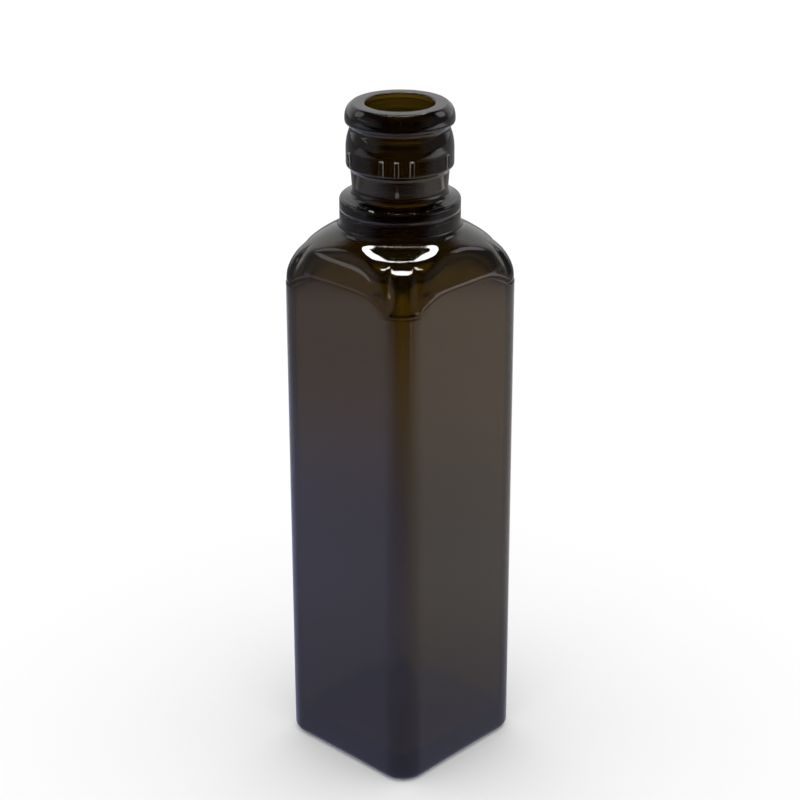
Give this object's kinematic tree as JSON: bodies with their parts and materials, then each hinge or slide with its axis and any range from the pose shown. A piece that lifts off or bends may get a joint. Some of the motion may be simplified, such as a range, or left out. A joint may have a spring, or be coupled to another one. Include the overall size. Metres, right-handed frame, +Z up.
{
  "type": "marasca bottle",
  "caption": "Empty square glass bottle with rounded corners, a domed shoulder with arched faces, a stepped round collar and a short neck with a pourer finish.",
  "frame": {"origin": "middle of the base, on the surface the bottle stands on", "axes": "+Z up along the bottle's axis to the mouth; the four flat faces look along +X, +Y, -X and -Y"},
  "size_m": [0.048, 0.048, 0.1895],
  "materials": {
    "glass": "smooth gloss, dark antique green"
  },
  "bodies": {
    "root": {"bottle": "glass"}
  },
  "joints": []
}
